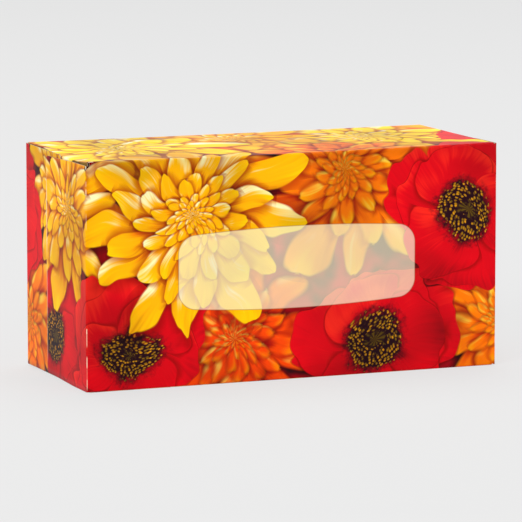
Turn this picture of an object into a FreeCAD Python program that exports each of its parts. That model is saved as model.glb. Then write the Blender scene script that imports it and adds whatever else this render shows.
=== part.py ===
"""Sealed carton of facial tissues: a folded and glued board box, full and unopened.

Millimetres, +Z up. The origin is the middle of the underside. X runs along the length, the front panel
faces -Y, and the top panel carries the perforated tear-out.
The pack is sealed and can't be seen into, so it is one solid. Its outside has the true form of the folded
board: creased edges, two outer end flaps that overlap, the open margins round them, the raw edge of the
glued seam along the back and the perforation.
"""

import FreeCAD
import Part

import math
import os

Vector = FreeCAD.Vector

# Outside size
length = 216.0
depth = 89.0
height = 111.5

# Board, folds and glue
board = 0.5
fold_radius = 0.4
glue = 0.2
glue_margin = 1.6

# End flaps: the one from the front panel lies on top, and its free edge is the seam that shows
seam_from_back = 32.0
flap_overlap = 20.0
flap_clearance = 1.5
flap_taper = 1.1
flap_taper_run = 38.0
flap_corner_radius = 2.5

# Side seam of the tube: how far the back panel's raw edge stops above the underside
lap_clearance = 0.6

# Perforated tear-out in the top panel
tearout_length = 150.0
tearout_width = 42.0
perforation_cut = 3.6
perforation_bridge = 0.8
perforation_width = 0.3

# Worked out from the sizes above
half_length = length / 2
half_depth = depth / 2
crease_radius = fold_radius + board
back_flap_face = half_length - board
dust_flap_face = half_length - 2 * board - glue
front_flap_edge = half_depth - seam_from_back
back_flap_edge = front_flap_edge - flap_overlap

# How near two coordinates have to be to count as the same
same = 1e-6


def box_between(low, high):
    """Box from its lowest to its highest corner."""
    size = high - low
    return Part.makeBox(size.x, size.y, size.z, low)


def rounded_box(low, high, radius, direction):
    """Box between two corners, with the four edges along one direction rounded."""
    box = box_between(low, high)
    long_edges = [e for e in box.Edges if abs(abs(e.tangentAt(0).dot(direction)) - 1) < same]
    return box.makeFillet(radius, long_edges)


def tube():
    """The four panels round the length, with creases along three edges and the side seam along one.

    At the lower back edge the bottom panel turns up into the glue flap, one board further in. The back
    panel laps over that flap, and its raw edge stops just above the underside.
    """
    along = Vector(1, 0, 0)
    end = dust_flap_face
    wrapped = rounded_box(
        Vector(-end, -half_depth, 0), Vector(end, half_depth - board, height), crease_radius, along)
    lapped = rounded_box(
        Vector(-end, -half_depth, -height), Vector(end, half_depth, height), crease_radius, along)
    above_lap = box_between(Vector(-end, 0, lap_clearance), Vector(end, half_depth, height))
    return wrapped.fuse(lapped.common(above_lap))


def core():
    """The tube with the top and bottom panels rounded over into the dust flaps at both ends."""
    rolled = rounded_box(
        Vector(-dust_flap_face, -depth, 0), Vector(dust_flap_face, depth, height),
        crease_radius, Vector(0, 1, 0))
    return tube().common(rolled)


def arc(centre, radius, start, end, plane):
    """Arc from one angle to another, in degrees, in the plane that the function gives."""
    def at(degrees):
        angle = math.radians(degrees)
        return plane(centre[0] + radius * math.cos(angle), centre[1] + radius * math.sin(angle))

    return Part.Arc(at(start), at((start + end) / 2), at(end)).toShape()


def closed_face(edges):
    """Face whose outline is the given edges in order, joined by straight lines where they don't meet."""
    outline = []
    for edge, following in zip(edges, edges[1:] + edges[:1]):
        end = edge.lastVertex().Point
        start = following.firstVertex().Point
        outline.append(edge)
        if end.distanceToPoint(start) > same:
            outline.append(Part.LineSegment(end, start).toShape())
    return Part.Face(Part.Wire(outline))


def bent_flap(face, side, free_edge):
    """Board that leaves a side panel, turns the corner and lies across the left end.

    face is how far out the flap lies, side is -1 for the front panel and 1 for the back one, and
    free_edge is where the flap ends across the depth.
    """
    def plane(x, y):
        return Vector(x, side * y, 0)

    def line(start, end):
        return Part.LineSegment(plane(*start), plane(*end)).toShape()

    root = -dust_flap_face + crease_radius
    centre = (-face + crease_radius, half_depth - crease_radius)
    tip = side * free_edge
    section = closed_face([
        line((root, half_depth - board), (root, half_depth)),
        arc(centre, crease_radius, 90, 180, plane),
        line((-face, tip), (-face + board, tip)),
        arc(centre, fold_radius, 180, 90, plane),
    ])
    return section.extrude(Vector(0, 0, height)).common(flap_outline(side, free_edge))


def flap_outline(side, free_edge):
    """Prism of a flap seen square on: full height at its crease, tapered to a rounded free edge."""
    low = flap_clearance
    high = height - flap_clearance
    taper_start = free_edge + side * flap_taper_run
    corners = [
        Vector(-length, side * depth, low),
        Vector(-length, taper_start, low),
        Vector(-length, free_edge, low + flap_taper),
        Vector(-length, free_edge, high - flap_taper),
        Vector(-length, taper_start, high),
        Vector(-length, side * depth, high),
    ]
    prism = Part.Face(Part.makePolygon(corners + corners[:1])).extrude(Vector(length, 0, 0))
    free_corners = [
        e for e in prism.Edges
        if abs(e.Vertexes[0].Y - free_edge) < same and abs(e.tangentAt(0).x) > 1 - same
    ]
    return prism.makeFillet(flap_corner_radius, free_corners)


def glue_bed():
    """What fills and joins the layers of the left end, held back from every cut edge by the glue margin."""
    low = flap_clearance + flap_taper + glue_margin
    return box_between(
        Vector(-back_flap_face, -half_depth + glue_margin, low),
        Vector(-dust_flap_face, half_depth - glue_margin, height - low))


def left_end():
    """Both outer flaps of the left end and the glue that holds them to the dust flaps."""
    front_flap = bent_flap(half_length, -1, front_flap_edge)
    back_flap = bent_flap(back_flap_face, 1, back_flap_edge)
    return front_flap.fuse([back_flap, glue_bed()])


def slot_point(travelled, run, radius):
    """Place and heading in degrees on a slot outline, from the middle of its front run and round.

    The outline is two straight runs along X joined by half circles.
    """
    half_turn = math.pi * radius
    stretches = [run / 2, half_turn, run, half_turn]
    stretch = 0
    while stretch < len(stretches) and travelled > stretches[stretch]:
        travelled -= stretches[stretch]
        stretch += 1
    if stretch == 0:
        return Vector(travelled, -radius, 0), 0.0
    if stretch == 2:
        return Vector(run / 2 - travelled, radius, 0), 180.0
    if stretch == 4:
        return Vector(travelled - run / 2, -radius, 0), 0.0
    side = 2 - stretch
    angle = travelled / radius - side * math.pi / 2
    place = Vector(side * run / 2 + radius * math.cos(angle), radius * math.sin(angle), 0)
    return place, math.degrees(angle) + 90


def perforation():
    """Cuts one board deep round the tear-out's slot-shaped outline, evenly spaced with bridges between."""
    radius = tearout_width / 2
    run = tearout_length - tearout_width
    around = 2 * run + 2 * math.pi * radius
    count = round(around / (perforation_cut + perforation_bridge))
    reach = Vector(perforation_cut / 2, perforation_width / 2, 0)
    blank = box_between(Vector(0, 0, height - board) - reach, Vector(0, 0, height + board) + reach)
    cuts = []
    for index in range(count):
        place, heading = slot_point((index + 0.5) * around / count, run, radius)
        cut = blank.copy()
        cut.rotate(Vector(0, 0, 0), Vector(0, 0, 1), heading)
        cut.translate(place)
        cuts.append(cut)
    return Part.makeCompound(cuts)


def tissue_box():
    """The whole sealed pack as one solid."""
    end = left_end()
    other_end = end.mirror(Vector(0, 0, 0), Vector(1, 0, 0))
    return core().fuse([end, other_end]).removeSplitter().cut(perforation())


def main():
    """Builds the pack and writes it as the part's only node."""
    os.makedirs("parts", exist_ok=True)
    shape = tissue_box()
    print("solids", len(shape.Solids), "valid", shape.isValid(), "volume", round(shape.Volume))
    shape.exportStep("parts/tissue_box.step")


main()
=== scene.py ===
"""A sealed, full carton of facial tissues, folded from one sheet of printed and varnished board.

The sheet is worked out flat, as a blank, and then folded: each point of the blank has its place along the
length and its place round the girth, and the fold gives where it lies on the closed carton. The print is
laid out on the same blank, so it runs on over the creases as it does on a real carton.
"""

from __future__ import annotations

import logging
import math
from dataclasses import dataclass
from enum import Enum
from typing import Iterable, Sequence, Union

import bpy
import numpy as np
from mathutils import Matrix, Vector


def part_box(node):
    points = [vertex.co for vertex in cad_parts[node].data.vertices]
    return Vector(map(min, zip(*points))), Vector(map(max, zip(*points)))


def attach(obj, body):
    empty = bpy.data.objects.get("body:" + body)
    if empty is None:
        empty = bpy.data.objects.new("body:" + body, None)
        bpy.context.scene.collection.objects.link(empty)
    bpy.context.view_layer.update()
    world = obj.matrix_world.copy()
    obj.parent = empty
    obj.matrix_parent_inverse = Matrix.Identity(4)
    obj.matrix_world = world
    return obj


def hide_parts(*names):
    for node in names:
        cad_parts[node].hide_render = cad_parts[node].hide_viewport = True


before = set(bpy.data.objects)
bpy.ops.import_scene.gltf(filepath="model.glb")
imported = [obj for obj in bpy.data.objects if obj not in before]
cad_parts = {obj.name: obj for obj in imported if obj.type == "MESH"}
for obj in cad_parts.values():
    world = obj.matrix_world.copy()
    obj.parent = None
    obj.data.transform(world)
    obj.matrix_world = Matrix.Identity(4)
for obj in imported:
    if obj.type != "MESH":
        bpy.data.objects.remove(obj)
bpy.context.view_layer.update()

log = logging.getLogger("tissue_box")

MM = 0.001
BAKE_MAP = "OFBake"
FULL_TURN = 2 * math.pi
QUARTER_TURN = math.pi / 2

Socket = bpy.types.NodeSocket
Colour = tuple[float, float, float]
Span = tuple[float, float]
Taper = tuple[float, float, float]
Value = Union[float, Socket]
Triple = Union[Colour, Socket]


def ink(red: int, green: int, blue: int) -> Colour:
    """Turns a colour as a screen shows it into the linear values that shaders take.

    Args:
        red: The red part, 0 to 255.
        green: The green part, 0 to 255.
        blue: The blue part, 0 to 255.

    Returns:
        The same colour in linear parts, 0 to 1.
    """
    shown = np.array([red, green, blue]) / 255
    linear = np.where(shown <= 0.04045, shown / 12.92, ((shown + 0.055) / 1.055) ** 2.4)
    return tuple(float(part) for part in linear)


class Wiring:
    """Short words for wiring one node tree.

    A value is either a number, which is set on the socket, or another node's output, which is linked.
    """

    least = 1e-7

    def __init__(self, tree: bpy.types.NodeTree) -> None:
        """Keeps the tree that the nodes go into."""
        self.tree = tree

    def node(self, kind: str, **settings: object) -> bpy.types.Node:
        """Adds a node and sets its properties.

        Args:
            kind: The node's type, in Blender's words.
            **settings: The properties, by name.

        Returns:
            The node.
        """
        made = self.tree.nodes.new(kind)
        for name, value in settings.items():
            setattr(made, name, value)
        return made

    def feed(self, socket: Socket, value: Union[Value, Triple]) -> None:
        """Links an output to a socket, or sets the socket to a number, vector or colour.

        Args:
            socket: The socket to fill.
            value: What it gets.
        """
        if isinstance(value, Socket):
            self.tree.links.new(value, socket)
        elif socket.type == "RGBA" and len(value) == 3:
            socket.default_value = (*value, 1.0)
        else:
            socket.default_value = value

    def math(self, operation: str, *values: Value, clamp: bool = False) -> Socket:
        """Adds one step of arithmetic.

        Args:
            operation: The step, in Blender's words.
            *values: What it works on, in order.
            clamp: Whether the result is held between 0 and 1.

        Returns:
            The result.
        """
        made = self.node("ShaderNodeMath", operation=operation, use_clamp=clamp)
        for socket, value in zip(made.inputs, values):
            self.feed(socket, value)
        return made.outputs[0]

    def vector(self, operation: str, *values: Triple) -> bpy.types.Node:
        """Adds one step of vector arithmetic.

        Args:
            operation: The step, in Blender's words.
            *values: What it works on, in order.

        Returns:
            The step's node, whose result is a vector or a value.
        """
        made = self.node("ShaderNodeVectorMath", operation=operation)
        vectors = [s for s in made.inputs if s.name != "Scale" and s.enabled]
        for socket, value in zip(vectors, values):
            self.feed(socket, value)
        return made

    def scaled(self, vector: Triple, factor: Value) -> Socket:
        """Multiplies a vector or colour by a number.

        Args:
            vector: The vector or colour.
            factor: The number.

        Returns:
            The product.
        """
        made = self.node("ShaderNodeVectorMath", operation="SCALE")
        self.feed(made.inputs[0], vector)
        self.feed(made.inputs["Scale"], factor)
        return made.outputs[0]

    def joined(self, x: Value = 0.0, y: Value = 0.0, z: Value = 0.0) -> Socket:
        """Makes a vector of three numbers.

        Args:
            x: Its first number.
            y: Its second number.
            z: Its third number.

        Returns:
            The vector.
        """
        made = self.node("ShaderNodeCombineXYZ")
        for socket, value in zip(made.inputs, (x, y, z)):
            self.feed(socket, value)
        return made.outputs[0]

    def parted(self, vector: Triple) -> Sequence[Socket]:
        """Takes a vector or colour apart.

        Args:
            vector: The vector or colour.

        Returns:
            Its three numbers.
        """
        made = self.node("ShaderNodeSeparateXYZ")
        self.feed(made.inputs[0], vector)
        return made.outputs

    def ramp(self, value: Value, low: Value, high: Value) -> Socket:
        """Rises smoothly from 0 at low to 1 at high, or falls where high is the lower of the two.

        Args:
            value: The number to judge.
            low: Where the result is 0.
            high: Where the result is 1.

        Returns:
            The result, 0 to 1.
        """
        made = self.node("ShaderNodeMapRange", interpolation_type="SMOOTHSTEP")
        for name, number in (("Value", value), ("From Min", low), ("From Max", high)):
            self.feed(made.inputs[name], number)
        return made.outputs[0]

    def blend(self, factor: Value, low: Triple, high: Triple, mode: str = "MIX") -> Socket:
        """Mixes two colours.

        Args:
            factor: How much of the second colour there is, 0 to 1.
            low: The first colour.
            high: The second colour.
            mode: How they mix, in Blender's words.

        Returns:
            The mixed colour.
        """
        made = self.node("ShaderNodeMix", data_type="RGBA", blend_type=mode)
        inputs = [s for s in made.inputs if s.enabled]
        for socket, value in zip(inputs, (factor, low, high)):
            self.feed(socket, value)
        return next(s for s in made.outputs if s.enabled)

    def noise(
        self, place: Triple, scale: float = 1.0, detail: float = 2.0, roughness: float = 0.5,
        dimensions: str = "3D",
    ) -> Socket:
        """Makes cloudy noise.

        Args:
            place: Where it is read.
            scale: How many clouds there are to a unit of the place.
            detail: How many times finer noise is laid over it.
            roughness: How strong the finer noise is.
            dimensions: Whether it has two dimensions or three, in Blender's words.

        Returns:
            The noise, 0 to 1.
        """
        made = self.node("ShaderNodeTexNoise", noise_dimensions=dimensions)
        self.feed(made.inputs["Vector"], place)
        self.feed(made.inputs["Scale"], scale)
        self.feed(made.inputs["Detail"], detail)
        self.feed(made.inputs["Roughness"], roughness)
        return made.outputs[0]

    def gamma(self, colour: Triple, power: float) -> Socket:
        """Raises a colour to a power.

        Args:
            colour: The colour.
            power: The power.

        Returns:
            The new colour.
        """
        made = self.node("ShaderNodeGamma")
        self.feed(made.inputs["Color"], colour)
        self.feed(made.inputs["Gamma"], power)
        return made.outputs[0]

    def after(self, place: Triple, earlier: Triple) -> Socket:
        """Gives the place again, off by less than a hair, once the earlier colour is known."""
        # The renderer so finishes each layer of the print before it starts the next, and needs room for
        # the values of one layer only
        return self.vector("MULTIPLY_ADD", earlier, (self.least,) * 3, place).outputs[0]

    def total(self, first: Value, *others: tuple[Value, Value]) -> Socket:
        """Adds to the first value each other value times its weight.

        Args:
            first: The first value.
            *others: Pairs of a value and its weight.

        Returns:
            The sum.
        """
        result = first
        for value, weight in others:
            result = self.math("MULTIPLY_ADD", value, weight, result)
        return result

    def bump(self, height: Value, depth: float, strength: float = 1.0) -> Socket:
        """Turns a height into the slope of the surface.

        Args:
            height: The height, 0 to 1.
            depth: How deep a whole unit of it is, in metres.
            strength: How much of the slope shows, 0 to 1.

        Returns:
            The normal.
        """
        made = self.node("ShaderNodeBump")
        self.feed(made.inputs["Height"], height)
        self.feed(made.inputs["Strength"], strength)
        self.feed(made.inputs["Distance"], depth)
        return made.outputs[0]

    def group(self, tree: bpy.types.NodeTree, **values: Union[Value, Triple]) -> Socket:
        """Adds a node group.

        Args:
            tree: The group.
            **values: Its inputs, by name.

        Returns:
            Its output.
        """
        made = self.node("ShaderNodeGroup", node_tree=tree)
        for name, value in values.items():
            self.feed(made.inputs[name], value)
        return made.outputs[0]


def new_material(name: str) -> tuple[bpy.types.Material, Wiring, bpy.types.Node]:
    """Makes a material.

    Args:
        name: Its name.

    Returns:
        The material, the wiring of its nodes and its shader.
    """
    made = bpy.data.materials.new(name)
    made.use_nodes = True
    return made, Wiring(made.node_tree), made.node_tree.nodes["Principled BSDF"]


@dataclass(frozen=True)
class Palette:
    """The inks of one kind of petal, from its throat to its tip."""

    deep: Colour
    main: Colour
    tip: Colour
    glint: Colour


YELLOW = Palette(ink(246, 112, 0), ink(255, 180, 0), ink(255, 204, 0), ink(255, 248, 186))
CREAM = Palette(ink(255, 170, 0), ink(255, 210, 0), ink(255, 230, 40), ink(255, 253, 222))
AMBER = Palette(ink(226, 60, 0), ink(255, 122, 0), ink(255, 166, 0), ink(255, 212, 70))
SCARLET = Palette(ink(104, 0, 16), ink(212, 0, 18), ink(228, 0, 20), ink(246, 40, 26))
CRIMSON = Palette(ink(84, 0, 16), ink(186, 0, 20), ink(226, 0, 22), ink(248, 60, 34))
FLAME = Palette(ink(190, 14, 4), ink(244, 70, 0), ink(255, 140, 0), ink(255, 204, 80))

NIGHT = ink(34, 3, 16)
GOLD = ink(222, 150, 16)
OLIVE = ink(110, 84, 10)


@dataclass(frozen=True)
class PetalForm:
    """How the petals of a ring differ in outline, in shares of a petal's length or of its cell.

    A petal is shorter and stands aside by a chance share of the two first values. The noise gap keeps the
    petals' patterns apart, and the shadow's span is how far outside and inside the outline it fades.
    """

    shorter: float = 0.24
    aside: float = 0.24
    noise_gap: float = 13.1
    ruffles: float = 4.0
    narrowing: float = 0.6
    shadow: Span = (-0.15, 0.03)
    rim: float = 0.06


@dataclass(frozen=True)
class PetalShading:
    """How a petal's inks, and its light and shade, are mixed.

    Both are sums of a few features times their weights. A span gives the two levels of a sum, or places
    on the petal, between which one ink gives way to the next or a feature sets in.
    """

    streak_length: float = 1.9
    patches: Span = (3.0, 2.6)
    tone_patch: float = 0.7
    tone_streak: float = 0.5
    tone_chance: float = 0.2
    to_main: Span = (-0.05, 0.5)
    to_tip: Span = (0.6, 1.25)
    light: float = 0.98
    light_cup: float = -0.3
    light_lean: float = 0.3
    lean_from: float = 0.4
    light_chance: float = 0.26
    light_streak: float = 0.42
    light_patch: float = 0.7
    light_rib: float = -0.06
    rib: Span = (0.22, 0.0)
    light_throat: float = -0.8
    throat: Span = (0.45, -0.12)
    to_shade: Span = (1.0, 0.1)
    to_glint: Span = (1.18, 1.6)
    shade: float = 0.5
    cast: Colour = (0.5, 0.17, 0.12)


@dataclass(frozen=True)
class OnPetal:
    """Where a point lies on its petal.

    The run goes from the middle to the tip, the offset across the petal's cell and the side from edge to
    edge. The key and the chance differ from petal to petal, and the index counts the cells.
    """

    run: Socket
    offset: Socket
    side: Socket
    key: Socket
    chance: Socket
    index: Socket
    per_cell: Socket


class PetalRing:
    """One ring of petals round a bloom's middle, as a node group.

    In polar coordinates about the middle, the turn is cut into as many cells as there are petals. A petal's
    half width in its cell falls from full at the throat to nothing at the tip, and the distance inside that
    outline gives its edge, and a soft shadow on what lies under it.
    """

    name = "petal ring"
    form = PetalForm()
    shading = PetalShading()
    inputs = (
        ("Under", "NodeSocketColor", (0.2, 0.0, 0.0, 1.0)),
        ("Place", "NodeSocketVector", (0.0, 0.0, 0.0)),
        ("Reach", "NodeSocketFloat", 30.0),
        ("Petals", "NodeSocketFloat", 12.0),
        ("Turn", "NodeSocketFloat", 0.0),
        ("Fullness", "NodeSocketFloat", 1.0),
        ("Bluntness", "NodeSocketFloat", 3.0),
        ("Curl", "NodeSocketFloat", 0.0),
        ("Ruffle", "NodeSocketFloat", 0.3),
        ("Softness", "NodeSocketFloat", 0.4),
        ("Hidden", "NodeSocketFloat", 0.0),
        ("Light", "NodeSocketFloat", 2.0),
        ("Crepe", "NodeSocketFloat", 22.0),
        ("Fineness", "NodeSocketFloat", 1.0),
        ("Deep", "NodeSocketColor", (0.2, 0.0, 0.0, 1.0)),
        ("Main", "NodeSocketColor", (0.8, 0.4, 0.0, 1.0)),
        ("Tip", "NodeSocketColor", (1.0, 0.7, 0.0, 1.0)),
        ("Glint", "NodeSocketColor", (1.0, 0.9, 0.6, 1.0)),
        ("Seed", "NodeSocketFloat", 0.0),
    )

    def __init__(self) -> None:
        """Builds the group's sockets and nodes."""
        self.tree = bpy.data.node_groups.new(self.name, "ShaderNodeTree")
        for label, kind, value in self.inputs:
            socket = self.tree.interface.new_socket(label, in_out="INPUT", socket_type=kind)
            socket.default_value = value
        self.tree.interface.new_socket("Colour", in_out="OUTPUT", socket_type="NodeSocketColor")
        self._wire(Wiring(self.tree))

    def _wire(self, w: Wiring) -> None:
        """Wires the petals' outline and their inks, and lays them over what is under them.

        Args:
            w: The wiring of the group.
        """
        given = w.node("NodeGroupInput").outputs
        petal, covers, under = self._outline(w, given)
        colour = self._shaded(w, given, petal)
        w.feed(w.node("NodeGroupOutput").inputs[0], w.blend(covers, under, colour))

    def _outline(self, w: Wiring, given: bpy.types.NodeOutputs) -> tuple[OnPetal, Socket, Socket]:
        """Finds the petal that a point belongs to and the point's place on it.

        Args:
            w: The wiring of the group.
            given: The group's inputs, by name.

        Returns:
            The place on the petal, how far the petal covers the point, and what lies under it with the
            petal's shadow.
        """
        form = self.form
        reach, petals, turn, seed = given["Reach"], given["Petals"], given["Turn"], given["Seed"]
        place = w.after(given["Place"], given["Under"])
        across, up, _ = w.parted(place)
        radius = w.vector("LENGTH", place).outputs["Value"]
        angle = w.math("ARCTAN2", up, across)
        swirl = w.math("MULTIPLY", given["Curl"], w.math("DIVIDE", radius, reach))
        per_cell = w.math("DIVIDE", petals, FULL_TURN)
        cells = w.math("ADD", w.math("MULTIPLY_ADD", angle, per_cell, turn), swirl)
        index = w.math("FLOOR", cells)
        petal = w.math("FLOORED_MODULO", index, petals)
        chance = w.node("ShaderNodeTexWhiteNoise", noise_dimensions="2D")
        w.feed(chance.inputs["Vector"], w.joined(petal, seed))
        first, second, third = w.parted(chance.outputs["Color"])

        length = w.math("MULTIPLY", reach, w.math("MULTIPLY_ADD", first, -form.shorter, 1.0))
        plain_run = w.math("DIVIDE", radius, length)
        offset = w.math("SUBTRACT", w.math("FRACT", cells), 0.5)
        offset = w.math("ADD", offset, w.math("MULTIPLY_ADD", second, form.aside, -form.aside / 2))
        key = w.math("MULTIPLY_ADD", petal, form.noise_gap, seed)
        wave_place = w.joined(w.math("MULTIPLY_ADD", offset, form.ruffles, key), plain_run)
        wave = w.noise(wave_place, detail=1.0, dimensions="2D")
        wobble = w.math("MULTIPLY", w.math("SUBTRACT", wave, 0.5), given["Ruffle"])
        run = w.math("MULTIPLY", plain_run, w.math("ADD", wobble, 1.0))

        taper = w.math("SUBTRACT", 1.0, w.math("POWER", run, given["Bluntness"]))
        narrowing = w.math("POWER", w.math("MAXIMUM", taper, 0.0), form.narrowing)
        half = w.math("MULTIPLY", w.math("MULTIPLY", given["Fullness"], 0.5), narrowing)
        aside = w.math("ABSOLUTE", offset)
        cell_width = w.math("DIVIDE", radius, per_cell)
        inside = w.math("MULTIPLY", w.math("SUBTRACT", half, aside), cell_width)
        from_tip = w.math("MULTIPLY", w.math("SUBTRACT", 1.0, run), length)
        inside = w.math("MINIMUM", inside, from_tip)
        covers = w.ramp(inside, w.math("MULTIPLY", given["Softness"], -1.0), given["Softness"])
        shadow = w.ramp(inside, *(w.math("MULTIPLY", length, share) for share in form.shadow))
        under = w.blend(shadow, given["Under"], self.shading.cast, "MULTIPLY")
        side = w.math("DIVIDE", offset, w.math("ADD", half, form.rim))
        return OnPetal(run, offset, side, key, third, index, per_cell), covers, under

    def _shaded(self, w: Wiring, given: bpy.types.NodeOutputs, petal: OnPetal) -> Socket:
        """Mixes the petal's inks along its run, and adds its light and shade.

        The light falls across the cupped petals and along the leaning ones, by the sine and cosine of the
        angle between the petal's direction and the light's.

        Args:
            w: The wiring of the group.
            given: The group's inputs, by name.
            petal: The place on the petal.

        Returns:
            The petal's colour.
        """
        shading, run, offset = self.shading, petal.run, petal.offset
        lane = w.math("MULTIPLY_ADD", offset, given["Crepe"], petal.key)
        streak_place = w.joined(lane, w.math("MULTIPLY", run, shading.streak_length))
        streak = w.noise(streak_place, detail=1.0, dimensions="2D")
        streak = w.math("MULTIPLY", w.math("SUBTRACT", streak, 0.5), given["Fineness"])
        across, along = shading.patches
        patch_place = w.joined(
            w.math("MULTIPLY_ADD", offset, across, petal.key), w.math("MULTIPLY", run, along))
        patch = w.noise(patch_place, detail=0.0, dimensions="2D")
        patch = w.math("SUBTRACT", patch, 0.5)
        share = w.math("SUBTRACT", 1.0, given["Hidden"])
        shown = w.math("DIVIDE", w.math("SUBTRACT", run, given["Hidden"]), share)
        tone = w.total(
            shown, (patch, shading.tone_patch), (streak, shading.tone_streak),
            (petal.chance, shading.tone_chance))
        colour = w.blend(w.ramp(tone, *shading.to_main), given["Deep"], given["Main"])
        colour = w.blend(w.ramp(tone, *shading.to_tip), colour, given["Tip"])

        middle = w.math("ADD", w.math("SUBTRACT", petal.index, given["Turn"]), 0.5)
        toward = w.math("SUBTRACT", w.math("DIVIDE", middle, petal.per_cell), given["Light"])
        cup = w.math("MULTIPLY", petal.side, w.math("SINE", toward))
        lean = w.math("MULTIPLY", w.math("COSINE", toward), w.math("SUBTRACT", shown, shading.lean_from))
        rib = w.ramp(w.math("ABSOLUTE", petal.side), *shading.rib)
        throat = w.ramp(shown, *shading.throat)
        lit = w.total(
            shading.light, (cup, shading.light_cup), (lean, shading.light_lean),
            (petal.chance, shading.light_chance), (streak, shading.light_streak),
            (patch, shading.light_patch), (rib, shading.light_rib), (throat, shading.light_throat))
        colour = w.blend(w.ramp(lit, *shading.to_shade), colour, w.scaled(given["Deep"], shading.shade))
        return w.blend(w.ramp(lit, *shading.to_glint), colour, given["Glint"])


class Heart:
    """A bloom's dark middle with its gold stamens, as a node group.

    A span gives the shares of the heart's size, or of a grain's cell, between which a thing sets in.
    """

    name = "bloom heart"
    cloud_scale = 0.35
    raggedness = 0.7
    disc = (1.16, 0.72)
    grain_scale = 0.62
    grain = (0.5, 0.16)
    crowd_outside = (1.15, 0.7)
    crowd_inside = (0.12, 0.42)
    chance = 0.5
    kept = (0.98, 1.24)
    ridges = 11.0
    ridge_depth = 0.4
    seed_head = (0.3, 0.2)
    seed_head_strength = 0.8

    def __init__(self) -> None:
        """Builds the group's sockets and nodes."""
        self.tree = bpy.data.node_groups.new(self.name, "ShaderNodeTree")
        for label, kind in (("Under", "Color"), ("Place", "Vector"), ("Size", "Float"), ("Seed", "Float")):
            self.tree.interface.new_socket(label, in_out="INPUT", socket_type=f"NodeSocket{kind}")
        self.tree.interface.new_socket("Colour", in_out="OUTPUT", socket_type="NodeSocketColor")
        self._wire(Wiring(self.tree))

    def _wire(self, w: Wiring) -> None:
        """Wires the dark disc, the grains of gold round it and the pale seed head in its middle.

        Args:
            w: The wiring of the group.
        """
        given = w.node("NodeGroupInput").outputs
        place, size, seed = w.after(given["Place"], given["Under"]), given["Size"], given["Seed"]
        radius = w.vector("LENGTH", place).outputs["Value"]
        cloud_place = w.vector("ADD", place, w.joined(seed, seed)).outputs[0]
        cloud = w.noise(cloud_place, self.cloud_scale, detail=3.0, roughness=0.65)
        share = w.math("DIVIDE", radius, size)
        share = w.total(share, (w.math("SUBTRACT", cloud, 0.5), self.raggedness))
        colour = w.blend(w.ramp(share, *self.disc), given["Under"], NIGHT)
        grains = w.node("ShaderNodeTexVoronoi", voronoi_dimensions="2D", feature="F1")
        w.feed(grains.inputs["Vector"], place)
        w.feed(grains.inputs["Scale"], self.grain_scale)
        chance, second, _ = w.parted(grains.outputs["Color"])
        grain = w.ramp(grains.outputs["Distance"], *self.grain)
        crowd = w.math(
            "MULTIPLY", w.ramp(share, *self.crowd_outside), w.ramp(share, *self.crowd_inside))
        kept = w.ramp(w.math("MULTIPLY_ADD", chance, self.chance, crowd), *self.kept)
        gold = w.blend(second, OLIVE, GOLD)
        colour = w.blend(w.math("MULTIPLY", grain, kept), colour, gold)
        across, up, _ = w.parted(place)
        angle = w.math("ARCTAN2", up, across)
        ridges = w.math("COSINE", w.math("MULTIPLY", angle, self.ridges))
        seed_head = w.blend(w.math("MULTIPLY_ADD", ridges, self.ridge_depth, 0.5), NIGHT, OLIVE)
        strength = w.math("MULTIPLY", w.ramp(share, *self.seed_head), self.seed_head_strength)
        colour = w.blend(strength, colour, seed_head)
        w.feed(w.node("NodeGroupOutput").inputs[0], colour)


@dataclass(frozen=True)
class Tile:
    """One rectangle of the print, in millimetres on the blank."""

    low: tuple[float, float]
    high: tuple[float, float]

    def away(self, across: float, up: float) -> float:
        """Gives how far a point lies outside the tile.

        Args:
            across: The point's place along the length.
            up: Its place round the girth.

        Returns:
            The distance, zero inside.
        """
        nearest_across = min(max(across, self.low[0]), self.high[0])
        nearest_up = min(max(up, self.low[1]), self.high[1])
        return math.hypot(across - nearest_across, up - nearest_up)


class BloomKind(Enum):
    """The two flowers of the print."""

    DAHLIA = "dahlia"
    POPPY = "poppy"


# How far a flower's shadow reaches, as a share of its own reach, and how far it may sway, in millimetres
SHADOW_REACH = 1.12
SWAY_REACH = 5.0


@dataclass(frozen=True)
class Bloom:
    """One flower of the print, in millimetres on the blank.

    It is turned by a share of a petal, and its plane is squashed along a direction tilted in radians.
    """

    kind: BloomKind
    across: float
    up: float
    reach: float
    palette: Palette
    turn: float = 0.0
    squash: float = 1.0
    tilt: float = 0.0
    soft: float = 0.35
    petals: int = 13

    @property
    def seed(self) -> float:
        """A number of the flower's own, worked out from its place."""
        return self.across * 0.37 + self.up * 0.11

    def touches(self, tile: Tile) -> bool:
        """Says whether the flower, its shadow or its sway reaches into a tile."""
        return tile.away(self.across, self.up) < self.reach * SHADOW_REACH + SWAY_REACH


DAHLIA, POPPY = BloomKind.DAHLIA, BloomKind.POPPY

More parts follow.
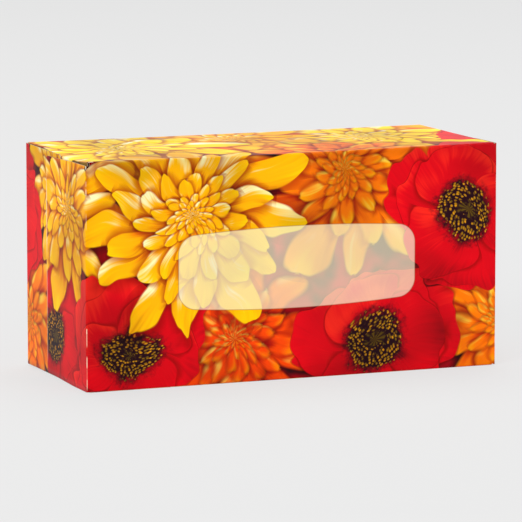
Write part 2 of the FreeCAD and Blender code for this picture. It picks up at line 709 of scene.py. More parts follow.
# From the bottom of the pile to the top: place, reach and inks, then turn, squash, tilt, softness, petals
BLOOMS = (
    Bloom(DAHLIA, 58, 160, 66, CREAM, 0.6, 1.0, 0.0, 1.3, 11),
    Bloom(POPPY, 118, 150, 34, SCARLET, 0.3, 0.9, 0.4, 1.2),
    Bloom(DAHLIA, -6, 178, 50, YELLOW, 0.4, 1.0, 0.0, 1.4, 11),
    Bloom(DAHLIA, -74, 158, 70, CREAM, 0.4, 1.0, 0.0, 1.0, 11),
    Bloom(DAHLIA, 110, 24, 52, AMBER, 0.1, 1.0, 0.0, 1.4, 11),
    Bloom(DAHLIA, -30, 20, 52, FLAME, 0.4, 0.92, -0.3, 1.6, 11),
    Bloom(DAHLIA, 26, 102, 66, AMBER, 0.4, 0.92, -0.3, 1.1, 11),
    Bloom(POPPY, 42, 16, 50, SCARLET, 0.7, 0.9, 0.5, 1.0),
    Bloom(DAHLIA, 150, 96, 46, YELLOW, 0.5, 1.0, 0.0, 0.8, 11),
    Bloom(POPPY, 90, 78, 48, SCARLET, 0.35, 0.92, -0.4, 0.6),
    Bloom(POPPY, -152, 22, 46, SCARLET, 0.5, 1.0, 0.0, 0.9),
    Bloom(DAHLIA, -134, 86, 62, YELLOW, 0.1, 0.95, 0.3, 0.9, 11),
    Bloom(POPPY, -86, 16, 48, SCARLET, 0.2, 0.9, 0.3, 0.7),
    Bloom(DAHLIA, -54, 80, 70, YELLOW, 0.25, 0.94, 0.5, 0.5, 12),
)


class Printing:
    """Lays the pile of flowers down as nodes, over one rectangle of the blank.

    A scale says how many clouds of noise there are to a millimetre, and a pair gives the two levels of
    the noise between which one ink gives way to another.
    """

    ring_ratio = 0.67
    light = 2.1
    sharp = 0.5
    sway_scale = 0.035
    sway = 12.0
    cloud_scale = 0.05
    dark_clouds = (0.35, 0.65)
    bright_clouds = (0.4, 0.6)
    brightens_over = 25.0
    dapple_scale = 0.022
    dapple = (0.3, 0.62)
    dapple_level = 0.78
    dapple_gain = 0.34
    poppy_layers = ((1.0, 4.0), (0.94, 3.0), (0.8, 3.0))
    poppy_turn = 0.47
    heart_share = 0.34
    dahlia_turn = 0.55
    dahlia_middle = 0.4

    def __init__(self, bright_from: float) -> None:
        """Builds the two node groups that every flower shares.

        Args:
            bright_from: Where round the girth the dark ground between the flowers turns bright.
        """
        self.bright_from = bright_from
        self.ring = PetalRing()
        self.heart = Heart()

    def lay(self, w: Wiring, place: Socket, tile: Tile) -> Socket:
        """Lays the flowers that reach into a tile.

        Args:
            w: The wiring of the material.
            place: Where on the blank, in millimetres.
            tile: The rectangle that the material covers.

        Returns:
            The print's colour.
        """
        drift = w.node("ShaderNodeTexNoise", noise_dimensions="2D")
        w.feed(drift.inputs["Vector"], place)
        w.feed(drift.inputs["Scale"], self.sway_scale)
        w.feed(drift.inputs["Detail"], 1.0)
        sway = w.vector("SUBTRACT", drift.outputs["Color"], (0.5, 0.5, 0.5)).outputs[0]
        place = w.vector("ADD", place, w.scaled(sway, self.sway)).outputs[0]
        cloud = w.noise(place, self.cloud_scale)
        colour = w.blend(w.ramp(cloud, *self.dark_clouds), NIGHT, CRIMSON.main)
        bright_at = self.bright_from + self.brightens_over
        above = w.ramp(w.parted(place)[1], self.bright_from, bright_at)
        bright = w.blend(w.ramp(cloud, *self.bright_clouds), AMBER.main, YELLOW.main)
        colour = w.blend(above, colour, bright)
        for bloom in (b for b in BLOOMS if b.touches(tile)):
            colour = self._flower(w, place, colour, bloom)
        dapple = w.noise(w.after(place, colour), self.dapple_scale, detail=1.0, dimensions="2D")
        dapple = w.ramp(dapple, *self.dapple)
        return w.scaled(colour, w.math("MULTIPLY_ADD", dapple, self.dapple_gain, self.dapple_level))

    def _flower(self, w: Wiring, place: Triple, under: Triple, bloom: Bloom) -> Socket:
        """Lays one flower over what is there.

        Args:
            w: The wiring of the material.
            place: Where on the blank, in millimetres.
            under: The colour that is there.
            bloom: The flower.

        Returns:
            The new colour.
        """
        local = w.node("ShaderNodeMapping", vector_type="TEXTURE")
        w.feed(local.inputs["Vector"], w.after(place, under))
        w.feed(local.inputs["Location"], (bloom.across, bloom.up, 0.0))
        w.feed(local.inputs["Rotation"], (0.0, 0.0, bloom.tilt))
        w.feed(local.inputs["Scale"], (1.0, bloom.squash, 1.0))
        draw = self._poppy if bloom.kind is POPPY else self._dahlia
        return draw(w, local.outputs[0], under, bloom)

    def _ring(self, w: Wiring, under: Triple, local: Triple, bloom: Bloom, **values: Value) -> Socket:
        """Adds one ring of petals in the flower's inks.

        Args:
            w: The wiring of the material.
            under: The colour that is there.
            local: Where from the flower's middle, in millimetres.
            bloom: The flower.
            **values: The ring's other inputs, by name.

        Returns:
            The new colour.
        """
        inks = bloom.palette
        return w.group(
            self.ring.tree, Under=under, Place=local, Softness=bloom.soft,
            Light=self.light - bloom.tilt, Fineness=min(1.0, self.sharp / bloom.soft),
            Deep=inks.deep, Main=inks.main, Tip=inks.tip, Glint=inks.glint, **values)

    def _poppy(self, w: Wiring, local: Triple, under: Triple, bloom: Bloom) -> Socket:
        """Lays a few broad petals in three layers, each smaller than the one below, and a dark heart.

        Args:
            w: The wiring of the material.
            local: Where from the flower's middle, in millimetres.
            under: The colour that is there.
            bloom: The flower.

        Returns:
            The new colour.
        """
        colour = under
        for step, (share, petals) in enumerate(self.poppy_layers):
            colour = self._ring(
                w, colour, local, bloom, Reach=bloom.reach * share, Petals=petals,
                Turn=bloom.turn + step * self.poppy_turn, Fullness=1.02, Bluntness=5.0, Curl=0.12,
                Ruffle=0.34, Crepe=44.0, Seed=bloom.seed + step)
        size = bloom.reach * self.heart_share
        return w.group(self.heart.tree, Under=colour, Place=local, Size=size, Seed=bloom.seed)

    def _dahlia(self, w: Wiring, local: Triple, under: Triple, bloom: Bloom) -> Socket:
        """Lays rings of petals that shrink evenly inwards, each over the one outside it.

        The rings' radii are the flower's reach times a ratio to the power 0, 1, 2 and on. At any point
        only the ring that ends next outside it and the two rings outside that can show.

        Args:
            w: The wiring of the material.
            local: Where from the flower's middle, in millimetres.
            under: The colour that is there.
            bloom: The flower.

        Returns:
            The new colour.
        """
        radius = w.math("MAXIMUM", w.vector("LENGTH", local).outputs["Value"], self.dahlia_middle)
        shrunk = w.math("LOGARITHM", w.math("DIVIDE", bloom.reach, radius), 1 / self.ring_ratio)
        nearest = w.math("FLOOR", shrunk)
        colour = under
        for outward in (2.0, 1.0, 0.0):
            order = w.math("SUBTRACT", nearest, outward)
            exists = w.math("GREATER_THAN", order, -0.5)
            reach = w.math("MULTIPLY", w.math("POWER", self.ring_ratio, order), bloom.reach)
            reach = w.math("MAXIMUM", w.math("MULTIPLY", reach, exists), 0.001)
            colour = self._ring(
                w, colour, local, bloom, Reach=reach, Petals=float(bloom.petals),
                Turn=w.math("MULTIPLY_ADD", order, self.dahlia_turn, bloom.turn), Fullness=1.0,
                Bluntness=2.6, Curl=0.25, Ruffle=0.12, Hidden=0.42, Crepe=16.0,
                Seed=w.math("ADD", order, bloom.seed))
        return colour


@dataclass(frozen=True)
class Label:
    """The pale see-through panel on the front, bare of words, in millimetres on the blank."""

    across: float = 1.4
    up: float = 55.6
    half_width: float = 62.3
    half_height: float = 20.3
    droop: float = 2.8
    corner: float = 8.5
    veil: Colour = ink(253, 247, 214)
    strength: float = 0.71
    edge: float = 0.15
    rule: Colour = (0.5, 0.28, 0.16)
    rule_strength: float = 0.3
    rule_width: Span = (0.45, 0.1)
    screen: float = 2.2

    def touches(self, tile: Tile) -> bool:
        """Says whether the panel reaches into a tile."""
        beyond = tile.away(self.across, self.up)
        return beyond < max(self.half_width, self.half_height) and tile.low[1] < self.up + self.half_height

    def lay(self, w: Wiring, place: Triple, under: Triple) -> Socket:
        """Lays the panel over the print: a rectangle with long edges that bulge, and rounded corners.

        The long edges fall by the droop times the square of the share of the half width, and a corner is
        the distance from its centre less its radius. The inks are mixed as a screen shows them, so that
        dark petals show through more than bright ones.

        Args:
            w: The wiring of the material.
            place: Where on the blank, in millimetres.
            under: The colour that is there.

        Returns:
            The new colour.
        """
        from_middle = w.vector("SUBTRACT", place, (self.across, self.up, 0.0)).outputs[0]
        across, up, _ = w.parted(from_middle)
        share = w.math("DIVIDE", across, self.half_width)
        fall = w.math("MULTIPLY", w.math("MULTIPLY", share, share), self.droop)
        beside = w.math("SUBTRACT", w.math("ABSOLUTE", across), self.half_width - self.corner)
        above = w.math("ADD", w.math("ABSOLUTE", up), fall)
        above = w.math("SUBTRACT", above, self.half_height - self.corner)
        out = w.joined(w.math("MAXIMUM", beside, 0.0), w.math("MAXIMUM", above, 0.0))
        away = w.vector("LENGTH", out).outputs["Value"]
        within = w.math("MINIMUM", w.math("MAXIMUM", beside, above), 0.0)
        distance = w.math("SUBTRACT", w.math("ADD", away, within), self.corner)
        covers = w.math("MULTIPLY", w.ramp(distance, self.edge, -self.edge), self.strength)
        rule = w.ramp(w.math("ABSOLUTE", distance), *self.rule_width)
        shown = w.gamma(under, 1 / self.screen)
        shown = w.blend(covers, shown, tuple(part ** (1 / self.screen) for part in self.veil))
        shown = w.blend(w.math("MULTIPLY", rule, self.rule_strength), shown, self.rule)
        return w.gamma(shown, self.screen)


@dataclass(frozen=True)
class Rub:
    """A stretch of a crease rubbed towards the white of the board, in millimetres along it."""

    low: float
    high: float
    depth: float


@dataclass(frozen=True)
class Crease:
    """A fold or free edge of the blank whose ink has worn, along one of the blank's two directions. At the
    outer flap's free edge the pale bare board is also a painted highlight of the edge.
    """

    upright: bool
    place: float
    wear: float
    rubs: tuple[Rub, ...] = ()
    reach: float = 0.4

    def touches(self, tile: Tile) -> bool:
        """Says whether the crease runs along or through a tile."""
        axis = 0 if self.upright else 1
        return tile.low[axis] - 1 < self.place < tile.high[axis] + 1


@dataclass(frozen=True)
class Wear:
    """How the ink cracks and rubs off along a crease.

    The amount is noise in long lengths and in fine flakes, each times its weight, plus the distance times
    a weight below zero. The ink cracks where the amount passes between two levels. A rub fades at its two
    ends, over a share of its length, and is patchy with the flakes.
    """

    noise_gap: float = 7.0
    length_scale: float = 0.05
    lengths: float = 1.5
    flake_scale: float = 0.3
    flakes: float = 0.5
    distance: float = -0.2
    levels: Span = (1.3, 1.6)
    patchy: Span = (1.6, 0.2)
    fade: float = 0.25
    full: float = 0.2


@dataclass(frozen=True)
class PrintedBoard:
    """Printed and varnished carton board, with what is laid over the flowers."""

    printing: Printing
    label: Label
    creases: tuple[Crease, ...]
    # From the dust crease on, the dust flaps carry painted shade for the gaps, except in the pressed
    # stretch
    dust_from: float
    dust_crease: float
    dust_fade: float = 0.25
    painted_gap_shade: float = 0.8
    pressed: Span = (134.0, 156.0)
    pressed_fade: float = 1.0
    wear: Wear = Wear()
    roughness: float = 0.4
    reflection: float = 0.02
    varnish: float = 0.12
    varnish_roughness: float = 0.07
    wave_scale: float = 24.0
    skin_scale: float = 800.0
    skin_share: float = 0.006
    unevenness: float = 0.35
    bare: Colour = ink(255, 236, 205)

    def material(self, name: str, tile: Tile) -> bpy.types.Material:
        """Makes the material of one tile: the print, painted shade on the dust flaps, the cracked ink along
        the creases (with a painted highlight at the outer flap's free edge) and the varnish.

        Args:
            name: The material's name.
            tile: The rectangle that it covers.

        Returns:
            The material.
        """
        made, w, shader = new_material(name)
        blank = w.scaled(w.node("ShaderNodeUVMap", uv_map="print").outputs[0], 1 / MM)
        colour = self.printing.lay(w, blank, tile)
        # Painted shade: the dust flaps are darkened where they lie in the gaps under the panels' end
        # creases
        if tile.low[1] > self.dust_from - 1:
            colour = self._painted_gap_shade(w, blank, colour)
        if self.label.touches(tile):
            colour = self.label.lay(w, blank, colour)
        for crease in (c for c in self.creases if c.touches(tile)):
            colour = self._crack(w, blank, colour, crease)
        w.feed(shader.inputs["Base Color"], colour)
        shader.inputs["Roughness"].default_value = self.roughness
        shader.inputs["Specular IOR Level"].default_value = self.reflection
        shader.inputs["Coat Weight"].default_value = self.varnish
        shader.inputs["Coat Roughness"].default_value = self.varnish_roughness
        w.feed(shader.inputs["Coat Normal"], self._surface(w))
        return made

    def _painted_gap_shade(self, w: Wiring, blank: Triple, under: Triple) -> Socket:
        """Paints shade on the dust flaps, from partway round their creases: the dark ground ink stands in
        for the shade in the gaps between the outer flaps and the top and bottom panels.

        In one stretch, where the outer flaps press on the creases and close the gap, the print runs on.

        Args:
            w: The wiring of the material.
            blank: Where on the blank, in millimetres.
            under: The colour that is there.

        Returns:
            The new colour.
        """
        across, up, _ = w.parted(blank)
        past = w.ramp(w.math("ABSOLUTE", across), self.dust_crease - self.dust_fade, self.dust_crease)
        (low, high), fade = self.pressed, self.pressed_fade
        starts, ends = w.ramp(up, low - fade, low + fade), w.ramp(up, high + fade, high - fade)
        inside = w.math("MULTIPLY", starts, ends)
        open_gap = w.math("SUBTRACT", 1.0, inside)
        shade = w.math("MULTIPLY", past, w.math("MULTIPLY", open_gap, self.painted_gap_shade))
        # NIGHT here is painted shade in the gap, not print
        return w.blend(shade, under, NIGHT)

    def _crack(self, w: Wiring, blank: Triple, under: Triple, crease: Crease) -> Socket:
        """Lets bare board show in short lengths along a crease, and where it is rubbed. At the outer flap's
        free edge the rubbed bare board is also a painted highlight of the edge.

        Args:
            w: The wiring of the material.
            blank: Where on the blank, in millimetres.
            under: The colour that is there.
            crease: The crease.

        Returns:
            The new colour.
        """
        wear = self.wear
        across, up, _ = w.parted(blank)
        beside, along = (across, up) if crease.upright else (up, across)
        distance = w.math("ABSOLUTE", w.math("SUBTRACT", beside, crease.place))
        row = w.joined(along, wear.noise_gap + crease.place)
        lengths = w.noise(row, wear.length_scale, detail=1.0)
        flaking = w.noise(w.joined(along, distance), wear.flake_scale, detail=4.0, roughness=0.7)
        lengths = w.math("MULTIPLY", lengths, wear.lengths)
        amount = w.total(lengths, (flaking, wear.flakes), (distance, wear.distance))
        cracked = w.ramp(amount, *(level - crease.wear for level in wear.levels))
        patchy = w.math("MULTIPLY_ADD", flaking, *wear.patchy, clamp=True)
        for rub in crease.rubs:
            fade = (rub.high - rub.low) * wear.fade
            starts = w.ramp(along, rub.low, rub.low + fade)
            ends = w.ramp(along, rub.high, rub.high - fade)
            within = w.math("MULTIPLY", starts, ends)
            rubbed = w.math("MULTIPLY", within, w.math("MULTIPLY", patchy, rub.depth))
            cracked = w.math("MAXIMUM", cracked, rubbed)
        near = w.ramp(distance, crease.reach, wear.full * crease.reach)
        return w.blend(w.math("MULTIPLY", cracked, near), under, self.bare)

    def _surface(self, w: Wiring) -> Socket:
        """Gives the varnish its faint unevenness: slow waves of the board and a fine skin.

        Args:
            w: The wiring of the material.

        Returns:
            The varnish's normal.
        """
        coordinates = w.node("ShaderNodeTexCoord").outputs["Object"]
        waves = w.noise(coordinates, self.wave_scale)
        skin = w.noise(coordinates, self.skin_scale)
        return w.bump(w.total(waves, (skin, self.skin_share)), self.unevenness * MM)


@dataclass(frozen=True)
class RawBoard:
    """The cut edge and the unprinted side of the board, with its grey-brown core."""

    name: str = "raw_board"
    pale: Colour = ink(196, 176, 148)
    dark: Colour = ink(146, 122, 96)
    fibre_scale: float = 1500.0
    fibres: Span = (0.35, 0.65)
    fibre_depth: float = 0.05
    fibre_strength: float = 0.4
    roughness: float = 0.9

    def material(self) -> bpy.types.Material:
        """Makes the material: pale pulp with short grey fibres.

        Returns:
            The material.
        """
        made, w, shader = new_material(self.name)
        coordinates = w.node("ShaderNodeTexCoord").outputs["Object"]
        fibres = w.noise(coordinates, self.fibre_scale, detail=4.0, roughness=0.7)
        w.feed(shader.inputs["Base Color"], w.blend(w.ramp(fibres, *self.fibres), self.dark, self.pale))
        shader.inputs["Roughness"].default_value = self.roughness
        w.feed(shader.inputs["Normal"], w.bump(fibres, self.fibre_depth * MM, self.fibre_strength))
        return made


@dataclass(frozen=True)
class Fold:
    """The fold of the blank: where each of its points lies on the closed carton, in millimetres.

    A point of the blank has a place along the length, zero in the middle, and a place round the girth,
    which is the height on the front panel and runs on up over the top and down the back, and below zero
    under the bottom and up the glue flap. The last values are what handling did to the closed carton.
    """

    length: float
    depth: float
    height: float
    board: float = 0.5
    crease: float = 0.9
    glue: float = 0.2
    glue_flap: float = 15.0
    lap_gap: float = 0.05
    lap_clearance: float = 0.6
    dust_flap: float = 40.0
    front_flap: float = 57.0
    back_flap: float = 52.0
    bow: float = 0.75
    bow_power: float = 2.2
    bow_lean: float = 0.3
    straighter: float = 0.7
    sag: float = 1.5
    far_sag: float = 0.1
    sag_reach: float = 20.0
    sag_from: float = 0.55
    sag_over: float = 0.65
    sag_power: float = 6.0
    upper_from: float = 0.5
    upper_over: float = 0.1

    @property
    def half_length(self) -> float:
        """Half the carton's length."""
        return self.length / 2

    @property
    def half_depth(self) -> float:
        """Half the carton's depth."""
        return self.depth / 2

    @property
    def dust_face(self) -> float:
        """How far out the dust flaps lie."""
        return self.half_length - 2 * self.board - self.glue

    @property
    def slot(self) -> float:
        """How far out the slots between the flaps begin."""
        return self.dust_face - self.crease

    def girth(self, up: np.ndarray) -> tuple[np.ndarray, np.ndarray, np.ndarray, np.ndarray]:
        """Carries the blank's second coordinate round the girth.

        Straight runs are linear, and a crease turns by a quarter round its centre, so that its point is
        the centre plus the radius times cosine and sine of an angle that falls evenly.

        Args:
            up: Places round the girth.

        Returns:
            Depth and height of each point, and the same two parts of its outward normal.
        """
        r, h, d, half = self.crease, self.height, self.depth, self.half_depth
        inner = half - self.board - self.lap_gap
        knots = np.array([-d - r, -d + r, -r, r, h - r, h + r, h + d - r, h + d + r])
        turned = np.interp(up, knots, [0, -90, -90, -180, -180, -270, -270, -360])
        across, rise = np.cos(np.radians(turned)), np.sin(np.radians(turned))
        middle = np.interp(up, knots, [inner - r] * 2 + [r - half] * 4 + [half - r] * 2)
        level = np.interp(up, knots, [r] * 4 + [h - r] * 4)
        level = level + np.minimum(0, h + d + r - up) + np.maximum(0, -d - r - up)
        return middle + r * across, level + r * rise, across, rise

    def folded(self, along: np.ndarray, up: np.ndarray, flap: bool) -> tuple[np.ndarray, np.ndarray]:
        """Folds points of the blank.

        The panels follow the girth. Past the slots, what belongs to the top or bottom rolls over towards
        the other about the ends' upper or lower edge, and what belongs to the front or back turns the
        corner about an upright edge: a quarter turn whose angle grows evenly, then straight on. A flap's
        long edges reach a little past where its panel's creases begin, and stay in the panel's plane.

        Args:
            along: Places along the length.
            up: Places round the girth, in an array of the same shape.
            flap: Whether the points lie on a flap of the front or back panel.

        Returns:
            The points, and their outward normals.
        """
        out = np.abs(along)
        side = np.sign(along)
        r = self.crease
        x, nx = out.copy(), np.zeros_like(out)
        level = (up > self.height - r) & (up < self.height + self.depth + r) | (up < r)
        if flap:
            level = np.zeros_like(level)
            front = up < self.height
            above = np.maximum(up, self.height + self.depth + r)
            flat = np.where(front, np.clip(up, r, self.height - r), above)
            depth, height, across, rise = self.girth(flat)
            height = height + np.where(front, up - flat, flat - up)
        else:
            depth, height, across, rise = self.girth(up)
        rolls = level & (out > self.slot)
        angle = np.clip((out - self.slot) / (2 * r), 0, 1) * QUARTER_TURN
        past = np.maximum(out - self.slot - 2 * r, 0)
        lift = r * np.abs(rise)
        base = height - r * rise
        x = np.where(rolls, self.slot + lift * np.sin(angle), x)
        height = np.where(rolls, base + np.sign(rise) * (lift * np.cos(angle) - past), height)
        nx = np.where(rolls, np.abs(rise) * np.sin(angle), nx)
        rise = np.where(rolls, rise * np.cos(angle), rise)

        for is_front, face in ((True, self.half_length), (False, self.half_length - self.board)):
            upright = ~level & ((up < self.height) == is_front)
            turns = upright & (out > face - r)
            angle = np.clip((out - face + r) / (2 * r), 0, 1) * QUARTER_TURN
            past = np.maximum(out - face - r, 0)
            wall = -self.half_depth if is_front else self.half_depth
            inward = 1 if is_front else -1
            x = np.where(turns, face - r + r * np.sin(angle), x)
            depth = np.where(turns, wall + inward * (r - r * np.cos(angle) + past), depth)
            nx = np.where(turns, np.sin(angle), nx)
            across = np.where(turns, across * np.cos(angle), across)
        points = np.stack([side * x, depth, height], -1)
        normals = np.stack([side * nx, across, rise], -1)
        return self._handled(points, level), normals

    def _handled(self, points: np.ndarray, level: np.ndarray) -> np.ndarray:
        """Sets what handling did to the folded board.

        The upper edges bow down, by one less a power of the share of the half length, a little more to
        the left and less at the back than at the front. Every height shrinks with them. The top panel
        also sags at its ends, less by a bell curve with the distance from the end, and more in the front
        half of the depth: it eases in from a place on the depth as three squares less two cubes.

        Args:
            points: The folded points, which are changed.
            level: Which of them belong to the top or bottom.

        Returns:
            The same points.
        """
        x, y, z = points[..., 0], points[..., 1], points[..., 2]
        run = np.clip(x / self.half_length, -1, 1)
        place = np.clip(y / self.half_depth, -1, 1)
        arch = self.bow * (1 - np.abs(run) ** self.bow_power) * (1 - self.bow_lean * run)
        bowed = arch * (1 - self.straighter * (place + 1) / 2)
        forward = np.clip((self.sag_from - place) / self.sag_over, 0, 1)
        across = (1 - np.abs(place) ** self.sag_power) * forward * forward * (3 - 2 * forward)
        near = np.exp(-(((x + self.half_length) / self.sag_reach) ** 2)) * self.sag
        far = np.exp(-(((x - self.half_length) / self.sag_reach) ** 2)) * self.far_sag
        upper = np.clip((z / self.height - self.upper_from) / self.upper_over, 0, 1) * level
        points[..., 2] = z - bowed * z / self.height - (near + far) * across * upper
        return points


@dataclass
class Carton:
    """The folded carton: its blank, as a closed sheet of board, and the finishes on it.

    A taper gives two distances from an outer flap's crease, and by how much its sides draw in between.
    The three worn values say how much of a crease's ink has cracked by itself, beside its rubs, and the
    bake values lay the sheet and the perforation's walls out on the map for baking.
    """

    fold: Fold
    step: float = 3.0
    crease_steps: int = 8
    flap_corner: float = 2.5
    corner_points: int = 9
    left_taper: Taper = (20.0, 46.0, 0.8)
    right_taper: Taper = (20.0, 46.0, 1.0)
    back_taper: Taper = (0.0, 50.0, 0.5)
    slot_gap: float = 0.35
    corner_gap: float = 2.8
    tearout_length: float = 150.0
    tearout_width: float = 42.0
    cut: float = 3.6
    bridge: float = 0.8
    cut_width: float = 0.3
    worn: float = 0.12
    more_worn: float = 0.2
    unworn: float = -1.0
    rubs: tuple[Rub, ...] = (
        Rub(0.6, 7.6, 0.65), Rub(6.0, 12.5, 0.25), Rub(11.2, 18.2, 0.9), Rub(21.5, 29.5, 0.6),
        Rub(28.0, 31.4, 0.95), Rub(78.0, 87.0, 0.3), Rub(94.5, 98.5, 0.8), Rub(99.0, 102.3, 0.35),
        Rub(107.0, 112.0, 1.0))
    corner_rub: Rub = Rub(-107.5, -103.5, 1.0)
    # Along the outer flap's free edge: rubbed bare board that is also a painted highlight of the edge
    seam_rubs_and_highlight: tuple[Rub, ...] = (Rub(4.0, 30.0, 0.3), Rub(56.0, 101.0, 0.75), Rub(24.0, 60.0, 0.4))
    seam_reach: float = 1.3
    cutter_drop: float = 3.0
    cutter_rise: float = 2.0
    bake_gap: float = 3.0
    bake_margin: float = 2.0
    bake_share: float = 0.96
    bake_inset: float = 0.004
    bake_corner: tuple[float, float] = (0.83, 0.3)
    bake_cell: float = 0.0068
    bake_fill: float = 0.8
    bake_cells: int = 24
    same: float = 1e-6
    name: str = "carton"

    def _spread(self, *stops: float) -> np.ndarray:
        """Gives places between stops: a crease's width gets its own steps, and longer runs even ones.

        Args:
            *stops: The stops, in order.

        Returns:
            The places, stops included.
        """
        parts = []
        for low, high in zip(stops, stops[1:]):
            short = high - low <= 2 * self.fold.crease + self.same
            count = self.crease_steps if short else max(1, math.ceil((high - low) / self.step))
            parts.append(np.linspace(low, high, count + 1)[:-1])
        return np.append(np.concatenate(parts), stops[-1])

    def _flap_places(self, face: float, reach: float) -> np.ndarray:
        """Gives places along an outer flap: where its slot begins, round its crease, and on to its end.

        At the free corners they close up, as the sine of an even angle.

        Args:
            face: How far out the flap lies.
            reach: How far it reaches past its crease.

        Returns:
            The places along the length.
        """
        low, high = face - self.fold.crease, face + self.fold.crease
        free = face + reach - self.flap_corner
        turned = np.linspace(0, QUARTER_TURN, self.corner_points)
        run = np.append(self._spread(low, free), free + self.flap_corner * np.sin(turned[1:]))
        return np.unique(np.concatenate([[self.fold.slot], self._spread(low, high), run[run > high]]))

    def _patches(self) -> Iterable[tuple[np.ndarray, np.ndarray, bool]]:
        """Cuts the blank into patches: the four panels in one, then its flaps.

        Returns:
            For each patch the grids of its two coordinates, length first, and whether it is an outer flap.
        """
        f = self.fold
        r, h, d, half = f.crease, f.height, f.depth, f.half_length
        torn, lap = self.corner_gap, 2 * h + d - f.lap_clearance
        front_rows = self._spread(r, h - torn, h - r)
        left_rows = front_rows[front_rows < h - torn + self.same]
        back_rows = self._spread(h + d + r, lap - r + self.slot_gap)
        top_rows = self._spread(h - r, h + r, h + d - r, h + d + r)
        low_rows = self._spread(-d - r, -d + r, -r, r)
        rows = np.concatenate([
            self._spread(-d - f.glue_flap, -d - r)[:-1], low_rows[:-1], front_rows[:-1], top_rows[:-1],
            back_rows, [lap]])
        yield *np.meshgrid(self._spread(-f.slot, f.slot), rows, indexing="ij"), False
        roll = self._spread(f.slot, f.slot + 2 * r)
        dust = self._spread(f.slot + 2 * r, f.slot + 2 * r + f.dust_flap)
        top_flat = top_rows[(top_rows > h + r - self.same) & (top_rows < h + d - r + self.same)]
        low_flat = low_rows[(low_rows > -d + r - self.same) & (low_rows < -r + self.same)]
        left_flap = self._flap(left_rows, half, f.front_flap, self.left_taper)
        yield -left_flap[0][::-1], left_flap[1][::-1], True
        yield *self._flap(front_rows, half, f.front_flap, self.right_taper), True
        for (along, up), is_flap in (
            (np.meshgrid(roll, top_rows, indexing="ij"), False),
            (np.meshgrid(dust, top_flat, indexing="ij"), False),
            (np.meshgrid(roll, low_rows, indexing="ij"), False),
            (np.meshgrid(dust, low_flat, indexing="ij"), False),
            (self._flap(back_rows, half - f.board, f.back_flap, self.back_taper), True),
        ):
            yield along, up, is_flap
            yield -along[::-1], up[::-1], is_flap

    def _flap(
        self, rows: np.ndarray, face: float, reach: float, taper: Taper,
    ) -> tuple[np.ndarray, np.ndarray]:
        """Widens an outer flap past the slots, narrows it towards its free edge, and rounds its corners.

        The cut on each side is a taper between two distances from the crease, plus at the end the corner's
        radius less the square root of its square less the run into it squared, less what the flap gains
        from the slot on.

        Args:
            rows: Places round the girth, from one side of the flap to the other.
            face: How far out the flap lies.
            reach: How far it reaches past its crease.
            taper: How it narrows.

        Returns:
            The grids of its two coordinates.
        """
        along = self._flap_places(face, reach)
        out = along - face
        into = np.clip(out - (reach - self.flap_corner), 0, self.flap_corner)
        rounding = self.flap_corner - np.sqrt(self.flap_corner**2 - into**2)
        crease = self.fold.crease
        gain = (crease - self.slot_gap) * np.clip((along - self.fold.slot) / crease, 0, 1)
        cut = (np.interp(out, taper[:2], [0, taper[2]]) + rounding - gain)[:, None]
        middle, half_rows = (rows[0] + rows[-1]) / 2, (rows[-1] - rows[0]) / 2
        up = middle + (rows[None, :] - middle) * (half_rows - cut) / half_rows
        return np.repeat(along[:, None], len(rows), axis=1), up

    def build(self) -> bpy.types.Object:
        """Builds the closed sheet: printed side, raw side one board further in, and the cut edges.

        Returns:
            The carton's object, with a map named print in metres of the blank.
        """
        outer, inner, corners, flat = self._sheet()
        rim, rim_flat = self._rim(corners, flat, len(outer))
        faces = np.concatenate([corners, corners[:, ::-1] + len(outer), rim])
        places = np.concatenate([flat, flat[:, ::-1], rim_flat])
        print_map = self._print(places[..., :2])
        number = np.arange(len(faces))
        printed, smooth = number < len(corners), number < 2 * len(corners)
        kinds = np.where(printed, self._tile_of(print_map), self._raw)
        maps = {"print": print_map, BAKE_MAP: self._bake_map(places[..., 2:], smooth & ~printed)}
        carton = self._object(self.name, np.concatenate([outer, inner]), faces, maps, kinds, smooth)
        self._perforate(carton)
        return carton

    def _sheet(self) -> tuple[np.ndarray, np.ndarray, np.ndarray, np.ndarray]:
        """Folds the blank's patches and welds them where they meet.

        A point of the raw side is the printed side's less its normal times the board.

        Returns:
            The points of the printed side, those of the raw side, the faces, and where the corners of the
            faces lie on the blank, once for the print and once for the bake.
        """
        points, normals, blank, quads = [], [], [], []
        count = 0
        for along, up, is_flap in self._patches():
            places, outward = self.fold.folded(along, up, is_flap)
            points.append(places.reshape(-1, 3))
            normals.append(outward.reshape(-1, 3))
            aside = along + np.sign(along) * is_flap * self.bake_gap
            blank.append(np.stack([along, up, aside, up], -1).reshape(-1, 4))
            index = np.arange(along.size).reshape(along.shape) + count
            quads.append(np.stack(
                [index[:-1, :-1], index[1:, :-1], index[1:, 1:], index[:-1, 1:]], -1).reshape(-1, 4))
            count += along.size
        points, normals = np.concatenate(points), np.concatenate(normals)
        blank, quads = np.concatenate(blank), np.concatenate(quads)
        _, first, weld = np.unique(np.round(points, 3), axis=0, return_index=True, return_inverse=True)
        outer, inner = points[first], points[first] - normals[first] * self.fold.board
        return outer, inner, weld.reshape(-1)[quads], blank[quads]

